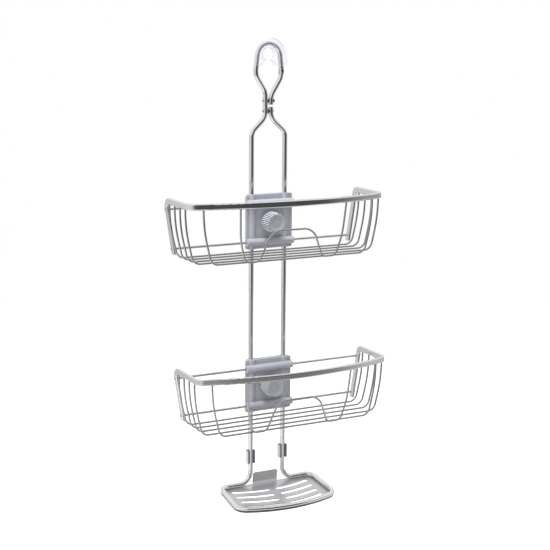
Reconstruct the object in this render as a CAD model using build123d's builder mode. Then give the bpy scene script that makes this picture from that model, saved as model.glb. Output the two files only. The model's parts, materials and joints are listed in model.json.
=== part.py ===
from build123d import *
from math import asin, atan2, cos, degrees, hypot, radians, sin, sqrt, tan
import os

# Hanging shower caddy: two wire baskets clamped to a rod frame that locks over a shower arm.
# Millimetres, +Z up, +X to the right, +Y to the wall behind the caddy.
# The origin is the centre of the shower arm in the hook's grip, half way through the grip.

# ---------------------------------------------------------------- driving dimensions
# Rod frame
ARM_D = 21.3             # shower arm that the hook hangs on, 1/2 inch pipe
ROD_D = 8.0              # frame rod
HOOK_R = 20.0            # centre line of the arch over the arm
GRIP_PAD = 2.6           # grip between the arm and the arch
LOOP_HALF = 23.2         # half width of the loop at its widest
LOOP_WIDE_Z = -30.2      # height of the loop's widest place
LOOP_R = 23.0            # bend there
GATE_WIDE_HALF = 22.4    # the gate rod bends lower and more gently
GATE_WIDE_Z = -35.0
GATE_WIDE_R = 32.0
WAIST_GAP = 1.6          # gap between the two rods at the waist
WAIST_SET = 0.8          # the waist stands this far to the left
WAIST_TOP_Z = -57.4      # corner where the loop runs into the waist
GATE_TOP_Z = -64.4       # the same on the gate rod
WAIST_BOTTOM_Z = -98.0   # corner where the shoulders leave the waist
WAIST_R = 23.0           # bends above and below the waist
UPRIGHT_PITCH = 59.0     # the two uprights, centre to centre
SHOULDER_Z = -120.8      # corner where the shoulders run into the uprights
SHOULDER_R = 18.0
GATE_END_Z = -78.5       # lower end of the gate rod
END_GAP = 3.1            # free gap between the gate rod and the frame's right end

# Ring that carries the soap tray
RING_Z = -699.3          # ring's centre line at the uprights
RING_TILT = 7.6          # degrees, falls to the front to drain
FOOT_R = 20.0            # bend from each upright into the ring
RING_HALF = 84.3         # half width at the back
RING_SPLAY = 4.1         # each side runs outwards by this much to the front
RING_DEPTH = 92.0        # from the back to the middle of the bowed front
RING_BOW_R = 250.0       # bow of the front
RING_BACK_R = 14.0       # corner bends
RING_FRONT_R = 18.0

# Latch, rivets and their washers
LATCH_Z = -25.5          # latch pin's axis
LATCH_PIN_D = 3.6
LATCH_PIN_END = 1.0      # the pin stops this far short of the tongue's face
LATCH_PLAY = 0.35        # round the pin in the tongue's hole
LAP_TOP_Z = -19.6        # upper shoulder of the half lap
TONGUE_END_Z = -29.6     # end of the arch's tongue
LAP_GAP = 0.4            # between the two lapped ends
RIVET_D = 3.0
RIVET_HEAD_D = 4.6
RIVET_HEAD_T = 0.6
PIVOT_PLAY = 0.08        # round the bushing in the gate, which turns on it
BUSHING_D = 4.4
BUSHING_FLANGE_D = 5.6
BUSHING_INNER_T = 3.0    # flange beside the left rod, let into the gate rod
BUSHING_OUTER_T = 1.6    # flange outside the gate rod
WASHER_D = 7.0           # washer between the rods at the frame rivet
GATE_RIVET_Z = -72.0
FRAME_RIVET_Z = -88.0

# Hook grip
GRIP_WALL = 5.0          # plastic outside the arch
GRIP_DEPTH = 14.0        # along the arm
GRIP_BOTTOM_Z = -17.5
GRIP_PLAY = 0.05         # round the arm
THROAT_Z = -9.0          # where the bore ends and the throat flares
THROAT_HALF = 13.0       # half width of the throat's mouth
GRIP_EDGE_R = 2.2

# Brackets
BRACKET_W = 81.6
BRACKET_H = 87.0
REAR_INSET = 4.0         # rear plate narrower than the front one on each side
PANEL_FRONT = 5.4        # front face of the panel, ahead of the rods' centre plane
PANEL_REAR = 5.8
CLAMP_GAP = 1.2          # between the front and rear clamp plates
RIDGE_R = 8.0            # half-round ridges over the uprights
ROD_PLAY = 0.06          # round the uprights in the clamp plates
SLEEVE_D = 12.0
SLEEVE_OVERHANG = 0.4    # sleeves stand past the panel's sides
BRACKET_CORNER_R = 2.5
BOSS_R = 13.0            # boss under the knob

# Clamp knobs
KNOB_SEAT = 10.4         # knob's base, ahead of the rods' centre plane
KNOB_PLAY = 0.3          # between the knob's base and the boss
KNOB_BASE_R = 16.2
KNOB_FRONT_R = 15.0
KNOB_LENGTH = 23.0
KNOB_EDGE_R = 1.2
KNOB_DISH = 1.4          # depth of the dished front
FLUTES = 32
FLUTE_R = 1.25
CAP_D = 12.0             # round cap in the knob's front
CAP_T = 2.2
SCREW_D = 6.0
SCREW_HEAD_AF = 10.0
SCREW_HEAD_T = 4.0
SCREW_END = 9.4          # screw's end, behind the rods' centre plane
NUT_AF = 10.0
NUT_WALL = 3.0           # of the boss round the nut
NUT_T = 4.6
NUT_FACE = 7.6           # rear face of the nut
THREAD_PLAY = 0.05
SCREW_HOLE_PLAY = 0.3    # round the screw in the clamp plates

# Baskets, measured from the middle of the rim's height
BASKET_HALF = 169.2      # outside of the side arms
STRIP_T = 5.0            # flat bar of the rim, with rounded edges
STRIP_H = 10.0
STRIP_EDGE_R = 2.0
RAIL_D = 4.0
RAIL_Y = -8.0            # back rails, ahead of the uprights
RAIL_TOP_Z = -13.5
RAIL_PITCH = 62.0
RAIL_PLAY = 0.1          # round the rails in the sleeves
RAIL_STUB = 1.2          # peened end outside the post
FRONT_Y = -122.0         # middle of the bowed front
FRONT_BOW_R = 510.0
FRONT_CORNER_R = 16.0
POST_BEND_R = 15.0       # outer edge bend from arm to post
POST_BOTTOM_Z = -84.4
POST_LEAN = 11.5         # the posts' feet stand this far inwards
WIRE_D = 3.0
WIRE_FIRST_Y = -20.5     # rearmost bottom wire
WIRE_PITCH = 20.0
SIDE_WIRES = 4
WIRE_INSET = 1.8         # side wires' centre line, inside the rim's outer face
FLOOR_Z = -88.5          # centre line of the bottom wires
WIRE_KNEE_Z = -35.0      # corner where the wires start to run inwards
WIRE_KNEE_R = 235.0
WIRE_FOOT_R = 14.0
WIRE_FOOT_IN = 13.0      # how far the wires run in from top to foot
FRONT_WIRE_HALF = 145.5  # where the front bottom wire meets the rim
SCALLOP_HALF = 91.0      # where the scalloped wire meets the rim
SCALLOP_KNEE_HALF = 88.0  # gentle bend in its outer legs
SCALLOP_KNEE_Z = -55.0
SCALLOP_KNEE_R = 120.0
SCALLOP_FOOT_OUT = 78.0
SCALLOP_FOOT_IN = 54.0
SCALLOP_ARCH_HALF = 36.0
SCALLOP_ARCH_Z = -42.0
SCALLOP_FOOT_R = 10.0
SCALLOP_ARCH_R = 25.0

# Tiers: height of each basket's rim and how far it is slid to the side
UPPER_RIM_Z = -219.0
LOWER_RIM_Z = -488.5
UPPER_SHIFT = -11.0
LOWER_SHIFT = 2.4
BRACKET_DROP = 43.5      # bracket's middle under the rim

# Soap tray, in the ring's plane
TRAY_T = 1.2
TRAY_LIP = 3.2           # tray stands past the ring's centre line
SLOT_ROWS = 4
SLOT_W = 7.0
SLOT_FIRST_Y = -25.2
SLOT_PITCH = 17.4
SLOT_BOW_R = 220.0       # the slots follow the front's bow
SLOT_IN = 9.5            # inner and outer ends of the slots
SLOT_OUT = 66.5
FLANGE_HALF = 22.5
FLANGE_H = 20.0
FLANGE_Y = 6.6           # rear face of the bent-up flange
FLANGE_CORNER_R = 4.0
FLANGE_BEND_R = 2.5      # inside of the fold
FLANGE_RELIEF = 0.8      # notch beside each end of the fold

# Wall bumper clips
BUMPER_LEFT_LIFT = 45.8  # bumpers' middles above the ring
BUMPER_RIGHT_LIFT = 47.8
BUMPER_H = 22.0
BUMPER_W = 14.5
BUMPER_FRONT = 4.8
BUMPER_BACK = 5.6
BUMPER_PLAY = 0.1

# ---------------------------------------------------------------- derived places
rod_r = ROD_D / 2
arm_r = ARM_D / 2
wire_r = WIRE_D / 2
rail_r = RAIL_D / 2
waist_half = rod_r + WAIST_GAP / 2
waist_left = -waist_half - WAIST_SET
waist_right = waist_half - WAIST_SET
upright_half = UPRIGHT_PITCH / 2
hook_z = arm_r + GRIP_PAD + rod_r - HOOK_R
frame_end_z = GATE_END_Z - END_GAP
ring_plane = Plane(origin=(0, 0, RING_Z), x_dir=(1, 0, 0),
                   z_dir=(0, -sin(radians(RING_TILT)), cos(radians(RING_TILT))))

# The hook's legs are tangent to the arch and run out to the loop's widest place.
leg_height = hook_z - LOOP_WIDE_Z
leg_lean = atan2(LOOP_HALF, leg_height) - asin(HOOK_R / hypot(LOOP_HALF, leg_height))
BEND_EASE = 0.1          # keeps the arch's two bends from meeting in one point
SAME = 0.01              # two measures this close are one


def leg_x(z, offset=0.0):
    """Half width of the hook's legs at height z, or of a line this far outside them."""
    return LOOP_HALF - (z - LOOP_WIDE_Z) * tan(leg_lean) + offset / cos(leg_lean)


def in_ring(x, y):
    """A point of the tilted ring's plane, as a vector in the model's frame."""
    return ring_plane.from_local_coords((x, y, 0))


def front_bow_y(x, middle, radius):
    """Depth of a bowed front at x, where its middle stands at this depth."""
    return middle + radius - sqrt(radius ** 2 - x ** 2)


def tangent_y(end_x, end_y, radius, side_x):
    """Depth at which the tangent from the end of a bow meets a side line."""
    slope = end_x / sqrt(radius ** 2 - end_x ** 2)
    return end_y + slope * (side_x - end_x)


def round_rod(path, diameter):
    """Sweep a round section along a path."""
    start = Plane(origin=path @ 0, z_dir=path % 0)
    with BuildSketch(start) as section:
        Circle(diameter / 2)
    return sweep(sections=section.sketch, path=path)


def save(solid, name):
    """Label a finished piece and write its STEP file."""
    solid.label = name
    export_step(solid, f"parts/{name}.step")


os.makedirs("parts", exist_ok=True)

# ---------------------------------------------------------------- ring outline
ring_end_x = RING_HALF + RING_SPLAY - RING_FRONT_R
ring_end_y = front_bow_y(ring_end_x, -RING_DEPTH, RING_BOW_R)
ring_corner_x = RING_HALF + RING_SPLAY
ring_corner_y = tangent_y(ring_end_x, ring_end_y, RING_BOW_R, ring_corner_x)


def ring_half(side, start):
    """Corners of half the ring, from a start on the back line to the end of its bow."""
    return [start,
            in_ring(side * RING_HALF, 0),
            in_ring(side * ring_corner_x, ring_corner_y),
            in_ring(side * ring_end_x, ring_end_y)]


ring_radii = [RING_BACK_R, RING_FRONT_R]

# ---------------------------------------------------------------- rod frame
hook_bend_r = HOOK_R - BEND_EASE
hook_corner_z = hook_z + HOOK_R
hook_corner_x = leg_x(hook_corner_z)
left_points = [(leg_x(TONGUE_END_Z), 0, TONGUE_END_Z),
               (hook_corner_x, 0, hook_corner_z),
               (-hook_corner_x, 0, hook_corner_z),
               (-LOOP_HALF, 0, LOOP_WIDE_Z),
               (waist_left, 0, WAIST_TOP_Z),
               (waist_left, 0, WAIST_BOTTOM_Z),
               (-upright_half, 0, SHOULDER_Z)]
left_radii = [hook_bend_r, hook_bend_r, LOOP_R, WAIST_R, WAIST_R, SHOULDER_R, FOOT_R]
right_points = [(upright_half, 0, SHOULDER_Z),
                (waist_right, 0, WAIST_BOTTOM_Z),
                (waist_right, 0, frame_end_z)]
right_radii = [FOOT_R, SHOULDER_R, WAIST_R]

with BuildPart() as bent_rod:
    with BuildLine() as frame_path:
        left_foot = in_ring(-upright_half, 0)
        right_foot = in_ring(upright_half, 0)
        FilletPolyline(*left_points, *ring_half(-1, left_foot),
                       radius=left_radii + ring_radii)
        ThreePointArc(in_ring(-ring_end_x, ring_end_y), in_ring(0, -RING_DEPTH),
                      in_ring(ring_end_x, ring_end_y))
        FilletPolyline(*reversed(ring_half(1, right_foot)), *right_points,
                       radius=ring_radii[::-1] + right_radii)
    round_rod(frame_path.wire(), ROD_D)
    # The arch's end is a tongue: the front half of the rod, pierced for the latch pin.
    tongue_x = leg_x(LATCH_Z)
    with Locations((tongue_x, -LAP_GAP / 2, LAP_TOP_Z)):
        Box(2 * ROD_D, ROD_D, 2 * ROD_D, align=(Align.CENTER, Align.MIN, Align.MAX),
            mode=Mode.SUBTRACT)
    with Locations(Plane.XZ):
        with Locations((tongue_x, LATCH_Z)):
            Hole(LATCH_PIN_D / 2 + LATCH_PLAY, depth=2 * ROD_D)
    # Rivet holes through the left rod, and the lower one through the right end too.
    with Locations(Location((0, 0, GATE_RIVET_Z), (0, 90, 0))):
        with Locations((0, 0, waist_left)):
            Cylinder(RIVET_D / 2, 2 * ROD_D, mode=Mode.SUBTRACT)
    with Locations(Location((0, 0, FRAME_RIVET_Z), (0, 90, 0))):
        Cylinder(RIVET_D / 2, 4 * ROD_D, mode=Mode.SUBTRACT)


def rod_between(low, high):
    """Stretches of the bent rod between two heights."""
    with BuildPart() as stretch:
        add(bent_rod.part)
        with Locations((0, 0, low)):
            Box(4 * RING_HALF, 4 * RING_DEPTH, high - low, mode=Mode.INTERSECT,
                align=(Align.CENTER, Align.CENTER, Align.MIN))
    return stretch.part.solids()


# The frame is one bent rod, kept as five stretches that butt end to end.
shoulder_end_z = SHOULDER_Z - SHOULDER_R
foot_end_z = RING_Z + FOOT_R
shoulder_rod, hook_rod = rod_between(shoulder_end_z, 2 * HOOK_R).sort_by(SortBy.VOLUME)
upright_left, upright_right = rod_between(foot_end_z, shoulder_end_z).sort_by(Axis.X)
ring_rod = rod_between(RING_Z - RING_DEPTH, foot_end_z)[0]
save(hook_rod, "hook_rod")
save(shoulder_rod, "shoulder_rod")
save(upright_left, "upright_left")
save(upright_right, "upright_right")
save(ring_rod, "ring_rod")

# ---------------------------------------------------------------- gate rod
# Heights across the gate's pivot, from the left rod's side to the outer flange.
inner_flange_x = waist_left + rod_r
flange_seat_x = inner_flange_x + BUSHING_INNER_T
outer_flange_x = waist_right + rod_r + PIVOT_PLAY
rivet_end_x = outer_flange_x + BUSHING_OUTER_T
with BuildPart() as gate_rod:
    with BuildLine() as gate_path:
        FilletPolyline((waist_right, 0, GATE_END_Z), (waist_right, 0, GATE_TOP_Z),
                       (GATE_WIDE_HALF, 0, GATE_WIDE_Z),
                       (leg_x(LAP_TOP_Z - LAP_GAP), 0, LAP_TOP_Z - LAP_GAP),
                       radius=[WAIST_R, GATE_WIDE_R])
    round_rod(gate_path.wire(), ROD_D)
    fillet(gate_rod.faces().sort_by(Axis.Z)[0].edges(), ROD_D / 8)
    # The upper end is the rear half of the lap, bored for the latch pin.
    with Locations((tongue_x, LAP_GAP / 2, TONGUE_END_Z - LAP_GAP)):
        Box(2 * ROD_D, ROD_D, 2 * ROD_D, align=(Align.CENTER, Align.MAX, Align.MIN),
            mode=Mode.SUBTRACT)
    with Locations(Location((tongue_x, 0, LATCH_Z), (90, 0, 0))):
        Cylinder(LATCH_PIN_D / 2, 2 * ROD_D, mode=Mode.SUBTRACT)
    # Bore for the bushing, with a flat for its inner flange.
    with Locations(Location((waist_right, 0, GATE_RIVET_Z), (0, 90, 0))):
        Cylinder(BUSHING_D / 2 + PIVOT_PLAY, 2 * ROD_D, mode=Mode.SUBTRACT)
    with Locations(Location((flange_seat_x + PIVOT_PLAY, 0, GATE_RIVET_Z), (0, 90, 0))):
        Cylinder(BUSHING_FLANGE_D / 2 + PIVOT_PLAY, ROD_D, mode=Mode.SUBTRACT,
                 align=(Align.CENTER, Align.CENTER, Align.MAX))
save(gate_rod.part, "gate_rod")

# ---------------------------------------------------------------- latch pin
with BuildPart() as latch_pin:
    with Locations(Location((tongue_x, 0, LATCH_Z), (90, 0, 0))):
        Cylinder(LATCH_PIN_D / 2, ROD_D - LATCH_PIN_END,
                 align=(Align.CENTER, Align.CENTER, Align.CENTER))
    chamfer(latch_pin.faces().sort_by(Axis.Y)[0].edges(), LATCH_PIN_D / 8)
save(latch_pin.part, "latch_pin")


# ---------------------------------------------------------------- rivets at the waist
def rivet(z, right_end, name):
    """Cross rivet through both rods at the waist, with a low head on each side."""
    left_end = waist_left - rod_r
    with BuildPart() as pin:
        with Locations(Location((left_end - RIVET_HEAD_T, 0, z), (0, 90, 0))):
            Cylinder(RIVET_HEAD_D / 2, RIVET_HEAD_T, align=(Align.CENTER, Align.CENTER, Align.MIN))
        with Locations(Location((right_end, 0, z), (0, 90, 0))):
            Cylinder(RIVET_HEAD_D / 2, RIVET_HEAD_T, align=(Align.CENTER, Align.CENTER, Align.MIN))
        outer_edges = pin.edges().filter_by(
            lambda edge: edge.center().X < left_end - RIVET_HEAD_T + SAME
            or edge.center().X > right_end + RIVET_HEAD_T - SAME)
        fillet(outer_edges, 0.8 * RIVET_HEAD_T)
        with Locations(Location((left_end, 0, z), (0, 90, 0))):
            Cylinder(RIVET_D / 2, right_end - left_end,
                     align=(Align.CENTER, Align.CENTER, Align.MIN))
    save(pin.part, name)


rivet(GATE_RIVET_Z, rivet_end_x, "gate_rivet")
rivet(FRAME_RIVET_Z, waist_right + rod_r, "frame_rivet")

# ---------------------------------------------------------------- bushing and washer
# Both turned along +X from the left rod's side.
with BuildPart() as gate_bushing:
    with BuildSketch(Plane.YZ.offset(inner_flange_x)):
        with Locations((0, GATE_RIVET_Z)):
            Circle(BUSHING_FLANGE_D / 2)
    extrude(amount=BUSHING_INNER_T)
    with BuildSketch(Plane.YZ.offset(inner_flange_x)):
        with Locations((0, GATE_RIVET_Z)):
            Circle(BUSHING_D / 2)
    extrude(amount=outer_flange_x - inner_flange_x)
    with BuildSketch(Plane.YZ.offset(outer_flange_x)):
        with Locations((0, GATE_RIVET_Z)):
            Circle(BUSHING_FLANGE_D / 2)
    extrude(amount=BUSHING_OUTER_T)
    with Locations(Location((0, 0, GATE_RIVET_Z), (0, 90, 0))):
        Cylinder(RIVET_D / 2, 4 * ROD_D, mode=Mode.SUBTRACT)
    add(bent_rod.part, mode=Mode.SUBTRACT)
save(gate_bushing.part, "gate_bushing")

with BuildPart() as rivet_washer:
    with BuildSketch(Plane.YZ.offset(waist_left + rod_r - WAIST_GAP)):
        with Locations((0, FRAME_RIVET_Z)):
            Circle(WASHER_D / 2)
            Circle(RIVET_D / 2, mode=Mode.SUBTRACT)
    extrude(amount=3 * WAIST_GAP)
    add(bent_rod.part, mode=Mode.SUBTRACT)
save(rivet_washer.part, "rivet_washer")

# ---------------------------------------------------------------- hook grip
grip_offset = rod_r + GRIP_WALL
grip_out_r = HOOK_R + grip_offset
grip_top_z = hook_z + grip_out_r
bore_r = arm_r + GRIP_PLAY
lip_half = sqrt(bore_r ** 2 - THROAT_Z ** 2)
with BuildPart() as hook_grip:
    with BuildSketch(Plane.XZ.offset(-GRIP_DEPTH / 2)):
        with BuildLine():
            grip_top_x = leg_x(grip_top_z, grip_offset)
            grip_foot_x = leg_x(GRIP_BOTTOM_Z, grip_offset)
            FilletPolyline((-grip_foot_x, GRIP_BOTTOM_Z), (-grip_top_x, grip_top_z),
                           (grip_top_x, grip_top_z), (grip_foot_x, GRIP_BOTTOM_Z),
                           radius=grip_out_r - BEND_EASE)
            Line((grip_foot_x, GRIP_BOTTOM_Z), (-grip_foot_x, GRIP_BOTTOM_Z))
        make_face()
    extrude(amount=GRIP_DEPTH)
    fillet(hook_grip.edges().filter_by(Plane.XZ), GRIP_EDGE_R)
    with BuildSketch(Plane.XZ.offset(-GRIP_DEPTH / 2)):
        Circle(bore_r)
        with BuildLine():
            Polyline((-lip_half, THROAT_Z), (lip_half, THROAT_Z), (THROAT_HALF, GRIP_BOTTOM_Z),
                     (-THROAT_HALF, GRIP_BOTTOM_Z), close=True)
        make_face()
    extrude(amount=GRIP_DEPTH, mode=Mode.SUBTRACT)
    add(bent_rod.part, mode=Mode.SUBTRACT)
save(hook_grip.part, "hook_grip")

# ---------------------------------------------------------------- brackets
# Built round the knob's axis, then stood at each tier.
sleeve_length = BRACKET_W + 2 * SLEEVE_OVERHANG
sleeve_zs = [BRACKET_DROP + RAIL_TOP_Z, BRACKET_DROP + RAIL_TOP_Z - RAIL_PITCH]


def clamp_plate(near, far, width):
    """Panel between two depths, with a half-round ridge over each upright on its far side."""
    depth = abs(far - near)
    side = 1 if far > near else -1
    with BuildPart() as plate:
        with BuildSketch(Plane.XZ.offset(-max(near, far))):
            RectangleRounded(width, BRACKET_H, BRACKET_CORNER_R)
        extrude(amount=depth)
        with Locations((-upright_half, 0, 0), (upright_half, 0, 0)):
            Cylinder(RIDGE_R, BRACKET_H)
        with Locations((0, near, 0)):
            Box(BRACKET_W, 2 * RIDGE_R, BRACKET_H, mode=Mode.SUBTRACT,
                align=(Align.CENTER, Align.MAX if side > 0 else Align.MIN, Align.CENTER))
        with Locations((-upright_half, 0, 0), (upright_half, 0, 0)):
            Cylinder(rod_r + ROD_PLAY, BRACKET_H, mode=Mode.SUBTRACT)
    return plate.part


with BuildPart() as bracket_front:
    add(clamp_plate(-CLAMP_GAP / 2, -PANEL_FRONT, BRACKET_W))
    with BuildSketch(Plane.YZ.offset(-sleeve_length / 2)):
        with Locations(*[(RAIL_Y, z) for z in sleeve_zs]):
            Circle(SLEEVE_D / 2)
    extrude(amount=sleeve_length)
    with BuildSketch(Plane.XZ.offset(PANEL_FRONT)):
        Circle(BOSS_R)
    extrude(amount=KNOB_SEAT - KNOB_PLAY - PANEL_FRONT)
    with BuildSketch(Plane.YZ.offset(-sleeve_length)):
        with Locations(*[(RAIL_Y, z) for z in sleeve_zs]):
            Circle(rail_r + RAIL_PLAY)
    extrude(amount=2 * sleeve_length, mode=Mode.SUBTRACT)
    with Locations((-upright_half, 0, 0), (upright_half, 0, 0)):
        Cylinder(rod_r + ROD_PLAY, BRACKET_H, mode=Mode.SUBTRACT)
    with Locations(Location((0, 0, 0), (90, 0, 0))):
        Cylinder(SCREW_D / 2 + SCREW_HOLE_PLAY, 4 * KNOB_SEAT, mode=Mode.SUBTRACT)

nut_boss_af = NUT_AF + 2 * NUT_WALL
with BuildPart() as bracket_rear:
    add(clamp_plate(CLAMP_GAP / 2, PANEL_REAR, BRACKET_W - 2 * REAR_INSET))
    with BuildSketch(Plane.XZ.offset(-PANEL_REAR)):
        RegularPolygon(nut_boss_af / 2, 6, major_radius=False)
    extrude(amount=PANEL_REAR - NUT_FACE)
    with BuildSketch(Plane.XZ.offset(-NUT_FACE)):
        RegularPolygon(NUT_AF / 2, 6, major_radius=False)
    extrude(amount=NUT_T, mode=Mode.SUBTRACT)
    with Locations(Location((0, 0, 0), (90, 0, 0))):
        Cylinder(SCREW_D / 2 + SCREW_HOLE_PLAY, 4 * KNOB_SEAT, mode=Mode.SUBTRACT)

with BuildPart() as clamp_nut:
    with BuildSketch(Plane.XZ.offset(-NUT_FACE)):
        RegularPolygon(NUT_AF / 2, 6, major_radius=False)
        Circle(SCREW_D / 2 + THREAD_PLAY, mode=Mode.SUBTRACT)
    extrude(amount=NUT_T)

# ---------------------------------------------------------------- clamp knob
# Turned round +Z from its base at height 0, then laid with its front to the viewer.
knob_stand = Plane(origin=(0, -KNOB_SEAT, 0), x_dir=(1, 0, 0), z_dir=(0, -1, 0))
cap_r = CAP_D / 2
cap_top = KNOB_LENGTH - KNOB_DISH
cap_floor = cap_top - CAP_T
head_floor = cap_floor - SCREW_HEAD_T
flute_lean = degrees(atan2(KNOB_BASE_R - KNOB_FRONT_R, KNOB_LENGTH))
dish_r = KNOB_FRONT_R - 2 * KNOB_EDGE_R
with BuildPart() as knob:
    with BuildSketch(Plane.XZ):
        with BuildLine():
            Polyline((0, cap_top), (0, 0), (KNOB_BASE_R, 0), (KNOB_FRONT_R, KNOB_LENGTH),
                     (dish_r, KNOB_LENGTH))
            ThreePointArc((dish_r, KNOB_LENGTH),
                          ((dish_r + cap_r) / 2, KNOB_LENGTH - 0.7 * KNOB_DISH), (cap_r, cap_top))
            Line((cap_r, cap_top), (0, cap_top))
        make_face()
    revolve(axis=Axis.Z)
    rim_edge = knob.edges().filter_by(
        lambda edge: edge.geom_type == GeomType.CIRCLE
        and abs(edge.radius - KNOB_FRONT_R) < SAME)
    fillet(rim_edge, KNOB_EDGE_R)
    with PolarLocations(KNOB_BASE_R + FLUTE_R / 4, FLUTES):
        with Locations(Location((0, 0, 0), (0, -flute_lean, 0))):
            Cylinder(FLUTE_R, 3 * KNOB_LENGTH, mode=Mode.SUBTRACT)
    with Locations((0, 0, cap_floor)):
        Cylinder(cap_r, KNOB_LENGTH, mode=Mode.SUBTRACT,
                 align=(Align.CENTER, Align.CENTER, Align.MIN))
    with BuildSketch(Plane.XY.offset(head_floor)):
        RegularPolygon(SCREW_HEAD_AF / 2, 6, major_radius=False)
    extrude(amount=SCREW_HEAD_T, mode=Mode.SUBTRACT)
    Cylinder(SCREW_D / 2, 2 * head_floor, mode=Mode.SUBTRACT)

with BuildPart() as knob_cap:
    with BuildSketch(Plane.XY.offset(cap_floor)):
        Circle(cap_r)
    extrude(amount=CAP_T)
    fillet(knob_cap.faces().sort_by(Axis.Z)[-1].edges(), CAP_T / 4)

with BuildPart() as clamp_screw:
    with BuildSketch(Plane.XY.offset(head_floor)):
        RegularPolygon(SCREW_HEAD_AF / 2, 6, major_radius=False)
    extrude(amount=SCREW_HEAD_T)
    with BuildSketch(Plane.XY.offset(-KNOB_SEAT - SCREW_END)):
        Circle(SCREW_D / 2)
    extrude(amount=KNOB_SEAT + SCREW_END + head_floor)

# ---------------------------------------------------------------- basket rim
# Built round the middle of its rim: x = 0 between the side arms, z = 0 half way up the strip.
strip_mid = BASKET_HALF - STRIP_T / 2
strip_foot = -STRIP_H / 2
band_front_y = FRONT_Y + STRIP_T / 2
band_bow_r = FRONT_BOW_R - STRIP_T / 2
band_end_x = strip_mid - FRONT_CORNER_R
band_end_y = front_bow_y(band_end_x, band_front_y, band_bow_r)
band_corner_y = tangent_y(band_end_x, band_end_y, band_bow_r, strip_mid)
arm_end_y = RAIL_Y + STRIP_H / 2 - POST_BEND_R
post_top_z = STRIP_H / 2 - POST_BEND_R
post_slope = POST_LEAN / (post_top_z - POST_BOTTOM_Z)


def post_face_x(z):
    """Outer face of a leaning post at height z."""
    return BASKET_HALF - post_slope * (post_top_z - z)


with BuildPart() as basket_rim:
    with BuildLine() as band_path:
        FilletPolyline((-strip_mid, arm_end_y), (-strip_mid, band_corner_y),
                       (-band_end_x, band_end_y), radius=FRONT_CORNER_R - STRIP_T / 2)
        ThreePointArc((-band_end_x, band_end_y), (0, band_front_y), (band_end_x, band_end_y))
        FilletPolyline((band_end_x, band_end_y), (strip_mid, band_corner_y),
                       (strip_mid, arm_end_y), radius=FRONT_CORNER_R - STRIP_T / 2)
    with BuildSketch(Plane(origin=band_path.wire() @ 0, x_dir=(1, 0, 0), z_dir=(0, -1, 0))):
        RectangleRounded(STRIP_T, STRIP_H, STRIP_EDGE_R)
    sweep(path=band_path.wire())
    for side in (-1, 1):
        # Bend from the arm down into the post.
        with BuildSketch(Plane(origin=(side * strip_mid, arm_end_y, 0), x_dir=(1, 0, 0),
                               z_dir=(0, -1, 0))):
            RectangleRounded(STRIP_T, STRIP_H, STRIP_EDGE_R)
        revolve(axis=Axis((0, arm_end_y, post_top_z), (-1, 0, 0)), revolution_arc=90)
        # Leaning post.
        lean = side * post_slope * (post_top_z - POST_BOTTOM_Z)
        with BuildSketch(Plane(origin=(side * strip_mid, RAIL_Y, post_top_z)),
                         Plane(origin=(side * strip_mid - lean, RAIL_Y, POST_BOTTOM_Z))):
            RectangleRounded(STRIP_T, STRIP_H, STRIP_EDGE_R)
        loft(ruled=True)
    for rail_z in (RAIL_TOP_Z, RAIL_TOP_Z - RAIL_PITCH):
        with Locations(Location((0, RAIL_Y, rail_z), (0, 90, 0))):
            Cylinder(rail_r, 3 * BASKET_HALF, mode=Mode.SUBTRACT)


# ---------------------------------------------------------------- basket wires and rails
def rail(z):
    """Back rail through both posts, peened outside them."""
    with BuildPart() as bar:
        with Locations(Location((0, RAIL_Y, z), (0, 90, 0))):
            Cylinder(rail_r, 2 * (post_face_x(z) + RAIL_STUB))
    return bar.part


def bottom_wire(half, y):
    """U-shaped wire that hangs from the rim at this half width and crosses the floor."""
    corners = [(half, y, strip_foot + STRIP_EDGE_R), (half, y, WIRE_KNEE_Z),
               (half - WIRE_FOOT_IN, y, FLOOR_Z)]
    mirrored = [(-x, depth, z) for x, depth, z in reversed(corners)]
    with BuildPart() as wire:
        with BuildLine() as path:
            FilletPolyline(*corners, *mirrored,
                           radius=[WIRE_KNEE_R, WIRE_FOOT_R, WIRE_FOOT_R, WIRE_KNEE_R])
        round_rod(path.wire(), WIRE_D)
        # Its ends are coped to the rim's rounded foot.
        add(basket_rim.part, mode=Mode.SUBTRACT)
    return wire.part.solids().sort_by(SortBy.VOLUME)[-1]


front_wire_y = front_bow_y(FRONT_WIRE_HALF, band_front_y, band_bow_r)
scallop_top_y = front_bow_y(SCALLOP_HALF, band_front_y, band_bow_r)
scallop_foot_y = front_wire_y - WIRE_D


def on_scallop(x, z):
    """A point of the scalloped wire's leaning plane."""
    share = (z - strip_foot) / (FLOOR_Z - strip_foot)
    return (x, scallop_top_y + share * (scallop_foot_y - scallop_top_y), z)


scallop_radii = [SCALLOP_KNEE_R, SCALLOP_FOOT_R, SCALLOP_FOOT_R, SCALLOP_ARCH_R]
with BuildPart() as scallop:
    with BuildLine() as scallop_path:
        scallop_side = [on_scallop(SCALLOP_HALF, strip_foot + wire_r),
                        on_scallop(SCALLOP_KNEE_HALF, SCALLOP_KNEE_Z),
                        on_scallop(SCALLOP_FOOT_OUT, FLOOR_Z),
                        on_scallop(SCALLOP_FOOT_IN, FLOOR_Z),
                        on_scallop(SCALLOP_ARCH_HALF, SCALLOP_ARCH_Z)]
        FilletPolyline(*scallop_side, *[(-x, y, z) for x, y, z in reversed(scallop_side)],
                       radius=scallop_radii + scallop_radii[::-1])
    round_rod(scallop_path.wire(), WIRE_D)
    # Its ends are cut level under the rim.
    with Locations((0, scallop_top_y, strip_foot)):
        Box(3 * SCALLOP_HALF, STRIP_H, STRIP_H, mode=Mode.SUBTRACT,
            align=(Align.CENTER, Align.CENTER, Align.MIN))

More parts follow.
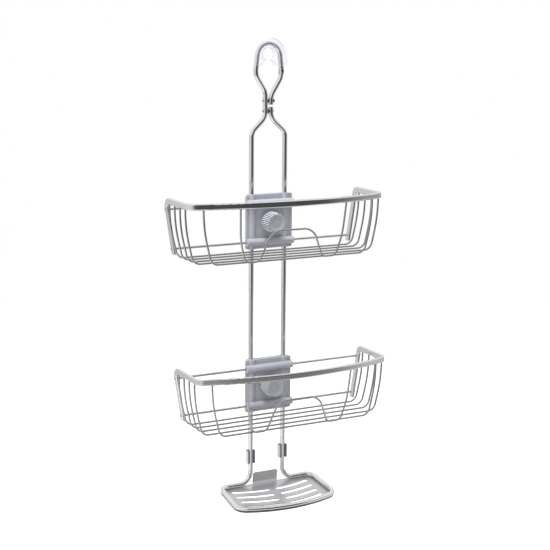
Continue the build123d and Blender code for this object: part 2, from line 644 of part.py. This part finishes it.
basket_pieces = {"basket_rim": basket_rim.part,
                 "rail_top": rail(RAIL_TOP_Z),
                 "rail_bottom": rail(RAIL_TOP_Z - RAIL_PITCH),
                 "bottom_wire_front": bottom_wire(FRONT_WIRE_HALF, front_wire_y),
                 "scallop_wire": scallop.part}
for index in range(SIDE_WIRES):
    wire_y = WIRE_FIRST_Y - index * WIRE_PITCH
    basket_pieces[f"bottom_wire_{index + 1}"] = bottom_wire(BASKET_HALF - WIRE_INSET, wire_y)
bracket_pieces = {"bracket_front": bracket_front.part,
                  "bracket_rear": bracket_rear.part,
                  "clamp_nut": clamp_nut.part}
knob_pieces = {"knob": knob.part, "knob_cap": knob_cap.part, "clamp_screw": clamp_screw.part}

# ---------------------------------------------------------------- tiers
for tier, rim_z, shift in (("upper", UPPER_RIM_Z, UPPER_SHIFT),
                           ("lower", LOWER_RIM_Z, LOWER_SHIFT)):
    bracket_place = Location((0, 0, rim_z - BRACKET_DROP))
    for name, solid in basket_pieces.items():
        save(solid.moved(Location((shift, 0, rim_z))), f"{tier}_{name}")
    for name, solid in bracket_pieces.items():
        save(solid.moved(bracket_place), f"{tier}_{name}")
    for name, solid in knob_pieces.items():
        save(solid.moved(bracket_place * knob_stand.location), f"{tier}_{name}")

# ---------------------------------------------------------------- soap tray
tray_floor = ring_plane.offset(-rod_r - TRAY_T)
fold_y = FLANGE_Y - TRAY_T - FLANGE_BEND_R
fold_z = FLANGE_BEND_R - rod_r
with BuildPart() as soap_tray:
    with BuildSketch(tray_floor):
        with BuildLine() as tray_outline:
            tray_side = [(RING_HALF, 0), (ring_corner_x, ring_corner_y), (ring_end_x, ring_end_y)]
            FilletPolyline((0, 0), *tray_side, radius=ring_radii)
            ThreePointArc((ring_end_x, ring_end_y), (0, -RING_DEPTH), (-ring_end_x, ring_end_y))
            FilletPolyline(*[(-x, y) for x, y in reversed(tray_side)], (0, 0),
                           radius=ring_radii[::-1])
        make_face()
        offset(amount=TRAY_LIP, kind=Kind.ARC)
        for row in range(SLOT_ROWS):
            slot_y = SLOT_FIRST_Y - row * SLOT_PITCH
            for side in (-1, 1):
                inner = degrees(asin(SLOT_IN / SLOT_BOW_R))
                outer = degrees(asin(SLOT_OUT / SLOT_BOW_R))
                with BuildLine(mode=Mode.PRIVATE) as slot:
                    CenterArc((0, slot_y + SLOT_BOW_R), SLOT_BOW_R, 270 + side * inner,
                              side * (outer - inner))
                SlotArc(slot.edge(), SLOT_W, mode=Mode.SUBTRACT)
        # Between the uprights a tab runs back to the fold of the rear flange.
        with Locations((0, fold_y)):
            Rectangle(2 * (FLANGE_HALF + FLANGE_RELIEF), 2 * FLANGE_H, mode=Mode.SUBTRACT,
                      align=(Align.CENTER, Align.MIN))
            Rectangle(2 * FLANGE_HALF, FLANGE_Y + TRAY_T, align=(Align.CENTER, Align.MAX))
    extrude(amount=TRAY_T)
    fold_plane = Plane(origin=in_ring(-FLANGE_HALF, fold_y), x_dir=ring_plane.y_dir,
                       z_dir=(1, 0, 0))
    with BuildSketch(fold_plane):
        with Locations((0, fold_z)):
            Circle(FLANGE_BEND_R + TRAY_T)
            Circle(FLANGE_BEND_R, mode=Mode.SUBTRACT)
            Rectangle(2 * FLANGE_H, 2 * FLANGE_H, mode=Mode.INTERSECT,
                      align=(Align.MIN, Align.MAX))
    extrude(amount=2 * FLANGE_HALF)
    flange_plane = Plane(origin=in_ring(0, FLANGE_Y), x_dir=(1, 0, 0), z_dir=-ring_plane.y_dir)
    with BuildSketch(flange_plane) as flange_face:
        with Locations((0, fold_z)):
            Rectangle(2 * FLANGE_HALF, FLANGE_H - TRAY_T - FLANGE_BEND_R,
                      align=(Align.CENTER, Align.MIN))
        fillet(flange_face.vertices().group_by(Axis.Y)[-1], FLANGE_CORNER_R)
    extrude(amount=TRAY_T)
save(soap_tray.part, "soap_tray")

# ---------------------------------------------------------------- wall bumper clips
for side, lift, name in ((-1, BUMPER_LEFT_LIFT, "bumper_left"),
                         (1, BUMPER_RIGHT_LIFT, "bumper_right")):
    with BuildPart() as bumper:
        with BuildSketch(Plane.XY.offset(RING_Z + lift - BUMPER_H / 2)):
            with Locations((side * upright_half, 0)):
                with Locations((0, (BUMPER_BACK - BUMPER_FRONT) / 2)):
                    RectangleRounded(BUMPER_W, BUMPER_FRONT + BUMPER_BACK, BUMPER_W / 6)
                Circle(rod_r + BUMPER_PLAY, mode=Mode.SUBTRACT)
                Rectangle(2 * rod_r + BUMPER_PLAY, BUMPER_FRONT + BUMPER_BACK,
                          align=(Align.CENTER, Align.MAX), mode=Mode.SUBTRACT)
        extrude(amount=BUMPER_H)
    save(bumper.part, name)
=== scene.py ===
import json
from math import radians

import bmesh
import bpy
from mathutils import Matrix, Vector


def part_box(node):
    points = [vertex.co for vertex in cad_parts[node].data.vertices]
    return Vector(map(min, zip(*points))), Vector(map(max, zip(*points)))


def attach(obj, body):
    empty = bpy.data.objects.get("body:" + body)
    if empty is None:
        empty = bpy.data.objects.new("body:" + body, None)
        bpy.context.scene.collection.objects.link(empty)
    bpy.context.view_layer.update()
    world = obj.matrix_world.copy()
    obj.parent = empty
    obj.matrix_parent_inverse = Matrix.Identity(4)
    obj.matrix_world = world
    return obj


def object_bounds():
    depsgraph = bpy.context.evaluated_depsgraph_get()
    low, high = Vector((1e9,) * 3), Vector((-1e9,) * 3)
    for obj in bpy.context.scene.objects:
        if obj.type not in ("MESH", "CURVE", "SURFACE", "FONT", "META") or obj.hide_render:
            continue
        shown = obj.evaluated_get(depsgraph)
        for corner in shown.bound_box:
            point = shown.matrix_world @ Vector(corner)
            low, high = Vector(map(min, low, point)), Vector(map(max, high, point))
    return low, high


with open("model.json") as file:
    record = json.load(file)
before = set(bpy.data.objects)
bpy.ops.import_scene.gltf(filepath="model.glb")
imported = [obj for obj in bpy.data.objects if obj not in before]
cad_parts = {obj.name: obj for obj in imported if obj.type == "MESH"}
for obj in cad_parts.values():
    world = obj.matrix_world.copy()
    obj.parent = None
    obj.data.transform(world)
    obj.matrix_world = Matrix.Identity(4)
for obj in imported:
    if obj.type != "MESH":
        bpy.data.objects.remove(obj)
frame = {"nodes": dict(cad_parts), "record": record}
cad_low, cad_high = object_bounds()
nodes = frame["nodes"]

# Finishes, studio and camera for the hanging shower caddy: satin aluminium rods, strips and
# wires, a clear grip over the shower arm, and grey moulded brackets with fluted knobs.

# ---------------------------------------------------------------- studio measures, in metres
CAMERA_PLACE = (-0.95085, -1.86248, 0.05633)     # from the shower arm's centre
CAMERA_TURN = -27.38                             # degrees
CAMERA_DIP = 11.03
CAMERA_ROLL = 0.39
LENS = 86.4                                      # millimetres
FLOOR_DROP = 0.5                                 # floor under the hanging caddy
FLOOR_R = 4.0
FLOOR_SIDES = 96
WHITE = (1.0, 1.0, 1.0, 1.0)
BLACK = (0.0, 0.0, 0.0, 1.0)

# Softboxes: middle, size and power in watts. Each faces the caddy, and no gloss mirrors it.
SOFTBOXES = {"key_softbox": ((-0.4, -0.4, 1.5), 0.8, 54.0),
             "left_softbox": ((-2.2, -0.5, 0.2), 1.4, 32.0),
             "front_softbox": ((-0.6, -2.6, -0.2), 1.4, 5.0)}

# The studio's walls, as gloss mirrors them and as they light the caddy. Each pair is where a
# smooth step starts and ends: HORIZON and GAP_TOP by how far a heading points up, DARK_SIDES
# and GAP_SIDES by its cosine to the heading named above them.
WALL_GREY = 0.60                                 # wall at eye level
WALL_SLOPE = 0.18                                # how much darker it is towards the right
CEILING = 0.9                                    # upper walls
HORIZON = (0.03, 0.16)                           # where the upper walls start
DARK = 0.07                                      # least that any wall sends back
DARK_HEADING = (0.17, -0.985, 0.0)               # unlit end
DARK_DEPTH = 0.9
DARK_SIDES = (0.45, 0.95)
GAP_HEADING = (0.24, -0.97, 0.0)                 # dark gap that stands between the walls
GAP_SIDES = (0.86, 0.97)
GAP_TOP = (0.45, 0.65)

# The floor. Gloss mirrors a darker floor than the camera sees. Radii are from under the arm.
PAPER_PALE = (0.84, 0.84, 0.84, 1.0)
PAPER_SHADE = (0.80, 0.80, 0.80, 1.0)
PAPER_FIBRE = (400.0, 400.0, 400.0)              # per metre
PAPER_ROUGHNESS = 0.9
PAPER_LIFT = (0.4, 0.4, 0.4, 1.0)                # brings the paper up to white for the camera
MIRRORED_GREY = (0.55, 0.55, 0.55, 1.0)          # mirrored floor where it is lit
MIRRORED_DARK = (0.16, 0.16, 0.16, 1.0)          # towards the unlit end and in the gap
MIRRORED_PAINTED_SHADOW = (0.03, 0.03, 0.03, 1.0)         # painted shadow right under the caddy
PAINTED_SHADOW_R = (0.35, 0.6)
GAP_R = (0.9, 1.6)
FAR_R = (1.7, 2.9)
FAR_SIDES = (0.6, 0.9)

# ---------------------------------------------------------------- finish measures
# Grain per metre along each axis, and depth of relief in metres
DRAWN = (1800.0, 1800.0, 24.0)                   # lines along an upright rod
TURNED = (1500.0, 1500.0, 1500.0)                # even grain on bent rods and wires
ROLLED = (24.0, 24.0, 2600.0)                    # lines along a level strip
BRUSHED = (60.0, 2600.0, 2600.0)                 # brushed sheet
CLOUDY = (35.0, 35.0, 35.0)                      # uneven sheen of the metal
SHEET_CLOUDY = (30.0, 30.0, 30.0)
SPARK = (2400.0, 2400.0, 2400.0)                 # spark texture of the moulds
FLOW = (25.0, 25.0, 60.0)                        # flow marks of the plastic
MARKS = (90.0, 90.0, 90.0)                       # marks in the clear grip
MILL_DEPTH = 0.000002
BRUSHED_DEPTH = 0.00002
SPARK_DEPTH = 0.00001

# Tones against a finish's own colour
DULL_MILL = 0.86
DULL_SHEET = 0.9
EDGE_HIGHLIGHT_TONE = 1.35                                 # painted highlight on the edges of the moulded pieces
EDGE_HIGHLIGHT_SHARE = 0.7
LANDS_PAINTED_HIGHLIGHT = 2.4                                      # painted highlight on the lands between a knob's flutes
FLUTE_FLOORS_PAINTED_SHADE = 0.3                               # painted shade in the floors of the flutes

EDGE_WIDTH = 0.0005                              # metres
EDGE_SAMPLES = 6
EDGE_TURN = (0.02, 0.25)                         # how far the surface turns on an edge
PLASTIC_SPECULAR = 0.6
KNOB_TAPER = 0.052                               # how much slimmer the knob gets, per length
FLUTE_DEPTH = (0.0001, 0.0006)                   # metres under the lands
KNOB_FRONT = (0.35, 0.6)                         # how squarely a face looks to the front
WALL_FACING = (0.4, 0.8)                         # how squarely a bumper's wall looks left
WALL_DEPTH = (0.0006, 0.0012)                    # metres in from its outside
BUMPER_ROUGHNESS = 0.34
SHEET_FLAT = (0.25, 0.5)                         # how squarely the sheet looks up or down
# The tray's tab, painted as a lit copy of the same sheet.
TAB_FOOT = 0.012                                 # tray's tab starts, above its lowest edge
TAB_RISE = 0.003
TAB_LIT_COLOUR = (0.56, 0.56, 0.58, 1.0)
TAB_METAL_LOSS = 0.6
TAB_DULLING = 0.2                                # added to its roughness
GRIP_ALPHA = 0.07                                # clear grip, seen square on
GRIP_EDGE_ALPHA = 0.7                            # added on its outline
GRIP_EDGE = (0.4, 0.95)                          # from the clear grip's face to its outline
PIN_END_R = 0.0018
PIN_END_LOW = 0.35                               # height of the dome, against its radius
PIN_END_BLACK = (0.006, 0.006, 0.007, 1.0)
PIN_END_ROUGHNESS = 0.5
BUMPER_GREY = (0.15, 0.15, 0.185, 1.0)
BUMPER_SHADE = (0.12, 0.12, 0.15, 1.0)
BUMPER_PAINTED_LIGHT = (0.46, 0.46, 0.50, 1.0)            # painted light on the left outer wall
KNOB_GREY = (0.30, 0.31, 0.34, 1.0)
KNOB_SHADE = (0.27, 0.28, 0.31, 1.0)
KNOB_ROUGHNESS = 0.26


# ---------------------------------------------------------------- shader maths
class Value:
    """A shader socket that is used as a number is."""

    def __init__(self, finish, socket):
        self.finish = finish
        self.socket = socket

    def math(self, operation, first, second):
        return self.finish.node("ShaderNodeMath", {"operation": operation},
                                {0: first, 1: second})

    def __add__(self, other):
        return self.math("ADD", self, other)

    def __radd__(self, other):
        return self.math("ADD", other, self)

    def __sub__(self, other):
        return self.math("SUBTRACT", self, other)

    def __rsub__(self, other):
        return self.math("SUBTRACT", other, self)

    def __mul__(self, other):
        return self.math("MULTIPLY", self, other)

    def __rmul__(self, other):
        return self.math("MULTIPLY", other, self)

    def larger(self, other):
        return self.math("MAXIMUM", self, other)

    def rise(self, low, high):
        """0 up to low, 1 from high and smooth between them."""
        return self.finish.node("ShaderNodeMapRange", {"interpolation_type": "SMOOTHSTEP"},
                                {"Value": self, "From Min": low, "From Max": high})


class Finish:
    """The node tree of a material or of the world."""

    def __init__(self, owner):
        owner.use_nodes = True
        self.owner = owner
        self.tree = owner.node_tree
        self.tree.nodes.clear()

    def node(self, kind, settings=None, sockets=None, output=0):
        """Add a node: its settings first, then its sockets' values or links."""
        made = self.tree.nodes.new(kind)
        for name, value in (settings or {}).items():
            setattr(made, name, value)
        for name, value in (sockets or {}).items():
            if isinstance(value, Value):
                self.tree.links.new(value.socket, made.inputs[name])
            else:
                made.inputs[name].default_value = value
        return Value(self, made.outputs[output]) if made.outputs else None

    def mix(self, share, first, second):
        """A colour between two colours."""
        return self.node("ShaderNodeMix", {"data_type": "RGBA"},
                         {0: share, 6: first, 7: second}, output=2)

    def place(self):
        """Where the surface is, in metres from its piece's origin. A CAD node's origin is the
        shower arm's centre."""
        return self.node("ShaderNodeTexCoord", output="Object")

    def along(self, vector, direction):
        """How much of a vector lies along a direction."""
        return self.node("ShaderNodeVectorMath", {"operation": "DOT_PRODUCT"},
                         {0: vector, 1: direction}, output="Value")

    def facing(self, direction):
        """How much the surface faces a direction of the model, from -1 to 1."""
        return self.along(self.node("ShaderNodeTexCoord", output="Normal"), direction)

    def edges(self, width):
        """1 on the edges of a piece, within this many metres, and 0 on its faces."""
        rounded = self.node("ShaderNodeBevel", {"samples": EDGE_SAMPLES}, {"Radius": width})
        true = self.node("ShaderNodeNewGeometry", output="Normal")
        return (1 - self.along(rounded, true)).rise(*EDGE_TURN)

    def grain(self, per_metre, detail=2.0, roughness=0.5):
        """Noise from 0 to 1, with its own fineness along each axis."""
        stretched = self.node("ShaderNodeVectorMath", {"operation": "MULTIPLY"},
                              {0: self.place(), 1: per_metre})
        return self.node("ShaderNodeTexNoise", None,
                         {"Vector": stretched, "Scale": 1.0, "Detail": detail,
                          "Roughness": roughness})

    def relief(self, height, depth):
        """A bumped normal from a height of 0 to 1, this many metres deep."""
        return self.node("ShaderNodeBump", None, {"Height": height, "Distance": depth})

    def surface(self, **sockets):
        """The principled shader, on the output."""
        named = {name.replace("_", " "): value for name, value in sockets.items()}
        self.node("ShaderNodeOutputMaterial", None,
                  {"Surface": self.node("ShaderNodeBsdfPrincipled", None, named)})
        return self.owner


def new_finish(name):
    return Finish(bpy.data.materials.new(name))


def toned(colour, tone):
    """A colour made lighter or darker, up to full white."""
    return tuple(min(1.0, tone * channel) for channel in colour[:3]) + (1.0,)


# ---------------------------------------------------------------- metal finishes
def satin_metal(name, colour, roughness, lines):
    """Satin metal: fine lines from the mill and a cloudy, slightly uneven sheen."""
    finish = new_finish(name)
    mill = finish.grain(lines, detail=3.0, roughness=0.6)
    cloud = finish.grain(CLOUDY, detail=4.0)
    dull = toned(colour, DULL_MILL)
    return finish.surface(Base_Color=finish.mix(0.7 * cloud + 0.3 * mill, dull, colour),
                          Metallic=1.0,
                          Roughness=roughness - 0.03 + 0.04 * cloud + 0.02 * mill,
                          Normal=finish.relief(mill, MILL_DEPTH))


def sheet_aluminium(name, colour, edge_colour, roughness, tab_foot):
    """Brushed sheet with darker sheared edges. Its upright tab is painted light, as a lit
    copy
    of the sheet: less metallic, rougher and one plain tone."""
    finish = new_finish(name)
    brushed = finish.grain(BRUSHED, detail=3.0, roughness=0.6)
    cloud = finish.grain(SHEET_CLOUDY, detail=3.0)
    face = finish.mix(0.6 * cloud + 0.4 * brushed, toned(colour, DULL_SHEET), colour)
    # Sheared edges look sideways and the faces up or down; the tray's tab stands upright.
    upward = finish.facing((0.0, 0.0, 1.0))
    tab = finish.along(finish.place(), (0.0, 0.0, 1.0)).rise(tab_foot, tab_foot + TAB_RISE)
    flat = (upward * upward).rise(*SHEET_FLAT).larger(tab)
    # Painted light: the tab takes a plain lit tone.
    toned_face = finish.mix(tab, face, TAB_LIT_COLOUR)
    return finish.surface(Base_Color=finish.mix(flat, edge_colour, toned_face),
                          Metallic=1.0 - TAB_METAL_LOSS * tab,
                          Roughness=roughness + 0.1 * brushed + TAB_DULLING * tab,
                          Normal=finish.relief(brushed, BRUSHED_DEPTH))


# ---------------------------------------------------------------- plastic finishes
def moulded_plastic(name, colour, shade, roughness, flutes=None):
    """Moulded plastic with a fine spark texture, faint flow marks and painted highlights on
    its edges.
    A knob's flutes get painted highlights on their lands and painted shade in their floors."""
    finish = new_finish(name)
    texture, flow = mould_marks(finish)
    face = finish.mix(0.8 * flow + 0.2 * texture, shade, colour)
    # Painted highlights on the edges, lighter than the faces.
    face = finish.mix(EDGE_HIGHLIGHT_SHARE * finish.edges(EDGE_WIDTH), face, toned(colour, EDGE_HIGHLIGHT_TONE))
    if flutes:
        # Painted highlights on the flutes' lands and painted shade in their floors.
        floors, flank = knob_flutes(finish, flutes)
        face = finish.mix(flank * (1 - floors), face, toned(colour, LANDS_PAINTED_HIGHLIGHT))
        face = finish.mix(flank * floors, face, toned(colour, FLUTE_FLOORS_PAINTED_SHADE))
    return finish.surface(Base_Color=face,
                          Roughness=roughness + 0.1 * flow,
                          Normal=finish.relief(texture, SPARK_DEPTH),
                          Coat_Weight=0.2 * flow,
                          Specular_IOR_Level=PLASTIC_SPECULAR)


def mould_marks(finish):
    """The spark texture and the flow marks of a moulded piece, each from 0 to 1."""
    return (finish.grain(SPARK, detail=2.0),
            finish.grain(FLOW, detail=4.0, roughness=0.6))


def knob_flutes(finish, knob):
    """1 in the floors of a knob's flutes, and 1 on its whole flank."""
    low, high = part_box(knob)
    axis = (low + high) / 2
    from_axis = finish.node("ShaderNodeVectorMath", {"operation": "SUBTRACT"},
                            {0: finish.place(), 1: (axis.x, 0.0, axis.z)})
    ahead = high.y - finish.along(from_axis, (0.0, 1.0, 0.0))
    from_axis = finish.node("ShaderNodeVectorMath", {"operation": "MULTIPLY"},
                            {0: from_axis, 1: (1.0, 0.0, 1.0)})
    radius = finish.node("ShaderNodeVectorMath", {"operation": "LENGTH"}, {0: from_axis},
                         output="Value")
    below = (high.x - low.x) / 2 - KNOB_TAPER * ahead - radius
    front = finish.facing((0.0, -1.0, 0.0)).rise(*KNOB_FRONT)
    return below.rise(*FLUTE_DEPTH), 1 - front


def bumper_plastic(bumper):
    """Dark grey plastic with painted light on one wall, the outer one on its left."""
    finish = new_finish(f"{bumper}_grey")
    texture, flow = mould_marks(finish)
    inward = finish.along(finish.place(), (1.0, 0.0, 0.0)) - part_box(bumper)[0].x
    # Painted light on the outer wall that faces left.
    outer = (finish.facing((-1.0, 0.0, 0.0)).rise(*WALL_FACING)
             * (1 - inward.rise(*WALL_DEPTH)))
    face = finish.mix(flow, BUMPER_SHADE, BUMPER_GREY)
    return finish.surface(Base_Color=finish.mix(outer, face, BUMPER_PAINTED_LIGHT),
                          Roughness=BUMPER_ROUGHNESS + 0.1 * flow,
                          Normal=finish.relief(texture, SPARK_DEPTH),
                          Specular_IOR_Level=PLASTIC_SPECULAR)


def clear_plastic(name, colour):
    """Clear plastic with a faint lavender tint, denser where it is seen edge on."""
    finish = new_finish(name)
    marks = finish.grain(MARKS, detail=2.0)
    edge = finish.node("ShaderNodeLayerWeight", None, {"Blend": 0.5}, output="Facing")
    return finish.surface(Base_Color=colour,
                          Roughness=0.06 + 0.05 * marks,
                          Alpha=(GRIP_ALPHA + 0.03 * marks
                                 + GRIP_EDGE_ALPHA * edge.rise(*GRIP_EDGE)))


# ---------------------------------------------------------------- finishes on the nodes
# The aluminium pieces differ in base tone only; these tones are painted light and shade,
# darkest on the wires.
finishes = {
    "rod_aluminium": satin_metal("drawn_rod", (0.90, 0.90, 0.91, 1.0), 0.13, DRAWN),
    "strip_aluminium": satin_metal("rim_strip", (0.87, 0.87, 0.88, 1.0), 0.15, ROLLED),
    "wire_aluminium": satin_metal("basket_wire", (0.50, 0.50, 0.51, 1.0), 0.13, TURNED),
    "rail_aluminium": satin_metal("basket_rail", (0.74, 0.74, 0.75, 1.0), 0.13, TURNED),
    "tray_aluminium": sheet_aluminium("tray_sheet", (0.70, 0.70, 0.715, 1.0),
                                      (0.30, 0.30, 0.31, 1.0), 0.30,
                                      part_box("soap_tray")[0].z + TAB_FOOT),
    "fastener_steel": satin_metal("fastener_steel", (0.55, 0.55, 0.56, 1.0), 0.3, TURNED),
    "bracket_plastic": moulded_plastic("bracket_grey", (0.335, 0.34, 0.378, 1.0),
                                       (0.31, 0.315, 0.352, 1.0), 0.28),
    "washer_plastic": moulded_plastic("washer_black", (0.04, 0.04, 0.045, 1.0),
                                      (0.03, 0.03, 0.033, 1.0), 0.4),
    "clear_plastic": clear_plastic("clear_grip", (0.62, 0.61, 0.76, 1.0)),
}
# Nodes with a finish of their own, not one from the table above.
own_finishes = {"latch_pin": finishes["washer_plastic"]}     # black, like its end
for tier in ("upper", "lower"):
    knob = f"{tier}_knob"
    own_finishes[knob] = moulded_plastic(f"{knob}_grey", KNOB_GREY, KNOB_SHADE,
                                         KNOB_ROUGHNESS, knob)
    own_finishes[f"{knob}_cap"] = own_finishes[knob]
for side in ("left", "right"):
    own_finishes[f"bumper_{side}"] = bumper_plastic(f"bumper_{side}")
for subpart in frame["record"]["subparts"]:
    finish = own_finishes.get(subpart["node"]) or finishes[subpart["material_slot"]]
    for slot in nodes[subpart["node"]].material_slots:
        slot.material = finish


# ---------------------------------------------------------------- latch pin's end
def latch_pin_end():
    """The latch pin's black domed end, in the mouth of the hole through the arch's end."""
    low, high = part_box("latch_pin")
    middle = (low + high) / 2
    mesh = bpy.data.meshes.new("latch_pin_end")
    dome = bmesh.new()
    bmesh.ops.create_uvsphere(dome, u_segments=32, v_segments=16, radius=PIN_END_R)
    bmesh.ops.scale(dome, vec=(1.0, PIN_END_LOW, 1.0), verts=dome.verts)
    for face in dome.faces:
        face.smooth = True
    dome.to_mesh(mesh)
    dome.free()
    head = bpy.data.objects.new("latch_pin_end", mesh)
    head.location = (middle.x, low.y, middle.z)
    mesh.materials.append(moulded_plastic("pin_end_black", PIN_END_BLACK, PIN_END_BLACK,
                                          PIN_END_ROUGHNESS))
    bpy.context.scene.collection.objects.link(head)
    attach(head, "gate")


latch_pin_end()


# ---------------------------------------------------------------- studio
def studio_world():
    """White to the camera and through clear plastic. Gloss mirrors, and the caddy is lit by,
    grey walls at eye level with an unlit end and a dark gap, under pale upper walls."""
    world = bpy.data.worlds.new("studio")
    bpy.context.scene.world = world
    sky = Finish(world)
    heading = sky.node("ShaderNodeTexCoord", output="Generated")
    height = sky.along(heading, (0.0, 0.0, 1.0))
    toward_dark = sky.along(heading, DARK_HEADING)
    side = WALL_GREY - WALL_SLOPE * sky.along(heading, (1.0, 0.0, 0.0))
    dim = side * (1 - DARK_DEPTH * toward_dark.rise(*DARK_SIDES))
    upper = height.rise(*HORIZON)
    wall = (1 - upper) * dim + CEILING * upper
    level = sky.node("ShaderNodeVectorMath", {"operation": "MULTIPLY"},
                     {0: heading, 1: (1.0, 1.0, 0.0)})
    level = sky.node("ShaderNodeVectorMath", {"operation": "NORMALIZE"}, {0: level})
    gap = sky.along(level, GAP_HEADING).rise(*GAP_SIDES) * (1 - height.rise(*GAP_TOP))
    wall = (wall * (1 - gap)).larger(DARK)
    camera = sky.node("ShaderNodeLightPath", output="Is Camera Ray")
    through = sky.node("ShaderNodeLightPath", output="Is Transmission Ray")
    colour = sky.mix(camera.larger(through), sky.mix(wall, BLACK, WHITE), WHITE)
    sky.node("ShaderNodeOutputWorld", None,
             {"Surface": sky.node("ShaderNodeBackground", None,
                                  {"Color": colour, "Strength": 1.0})})


def studio_floor():
    """A round pale floor well below the caddy. Gloss mirrors it grey, with painted shade in
    parts and a painted shadow under the caddy.
    """
    mesh = bpy.data.meshes.new("floor")
    disc = bmesh.new()
    bmesh.ops.create_circle(disc, cap_ends=True, segments=FLOOR_SIDES, radius=FLOOR_R)
    disc.to_mesh(mesh)
    disc.free()
    floor = bpy.data.objects.new("floor", mesh)
    floor.location = (0.0, 0.0, cad_low.z - FLOOR_DROP)
    bpy.context.scene.collection.objects.link(floor)
    paper = new_finish("floor_paper")
    camera = paper.node("ShaderNodeLightPath", output="Is Camera Ray")
    mirrored = paper.node("ShaderNodeLightPath", output="Is Glossy Ray")
    through = paper.node("ShaderNodeLightPath", output="Is Transmission Ray")
    pale = paper.mix(paper.grain(PAPER_FIBRE), PAPER_SHADE, PAPER_PALE)
    distance = paper.node("ShaderNodeVectorMath", {"operation": "LENGTH"},
                          {0: paper.place()}, output="Value")
    outward = paper.node("ShaderNodeVectorMath", {"operation": "NORMALIZE"},
                         {0: paper.place()})
    gap = paper.along(outward, GAP_HEADING).rise(*GAP_SIDES) * distance.rise(*GAP_R)
    far = paper.along(outward, DARK_HEADING).rise(*FAR_SIDES) * distance.rise(*FAR_R)
    # Painted shadow under the caddy, seen only by gloss.
    under = 1 - distance.rise(*PAINTED_SHADOW_R)
    reflected = paper.mix(far.larger(gap), MIRRORED_GREY, MIRRORED_DARK)
    reflected = paper.mix(under, reflected, MIRRORED_PAINTED_SHADOW)
    mesh.materials.append(paper.surface(
        Base_Color=paper.mix(mirrored, pale, reflected),
        Roughness=PAPER_ROUGHNESS,
        Emission_Color=paper.mix(camera.larger(through), BLACK, PAPER_LIFT),
        Emission_Strength=1.0))


def softbox(name, place, size, watts):
    """A square lamp that faces the middle of the caddy, hidden from the camera and gloss."""
    lamp = bpy.data.lights.new(name, "AREA")
    lamp.shape = "SQUARE"
    lamp.size = size
    lamp.energy = watts
    holder = bpy.data.objects.new(name, lamp)
    holder.location = place
    toward = (cad_low + cad_high) / 2 - Vector(place)
    holder.rotation_euler = toward.to_track_quat("-Z", "Y").to_euler()
    holder.visible_camera = False
    holder.visible_glossy = False
    bpy.context.scene.collection.objects.link(holder)


def studio_camera():
    """The camera looks slightly down at the caddy from the front left."""
    lens = bpy.data.cameras.new("camera")
    lens.lens = LENS
    camera = bpy.data.objects.new("camera", lens)
    camera.matrix_world = (Matrix.Translation(CAMERA_PLACE)
                           @ Matrix.Rotation(radians(CAMERA_TURN), 4, "Z")
                           @ Matrix.Rotation(radians(90.0 - CAMERA_DIP), 4, "X")
                           @ Matrix.Rotation(radians(CAMERA_ROLL), 4, "Z"))
    bpy.context.scene.collection.objects.link(camera)
    bpy.context.scene.camera = camera


studio_world()
studio_floor()
for name, (place, size, watts) in SOFTBOXES.items():
    softbox(name, place, size, watts)
studio_camera()
bpy.context.scene.view_settings.view_transform = "Standard"
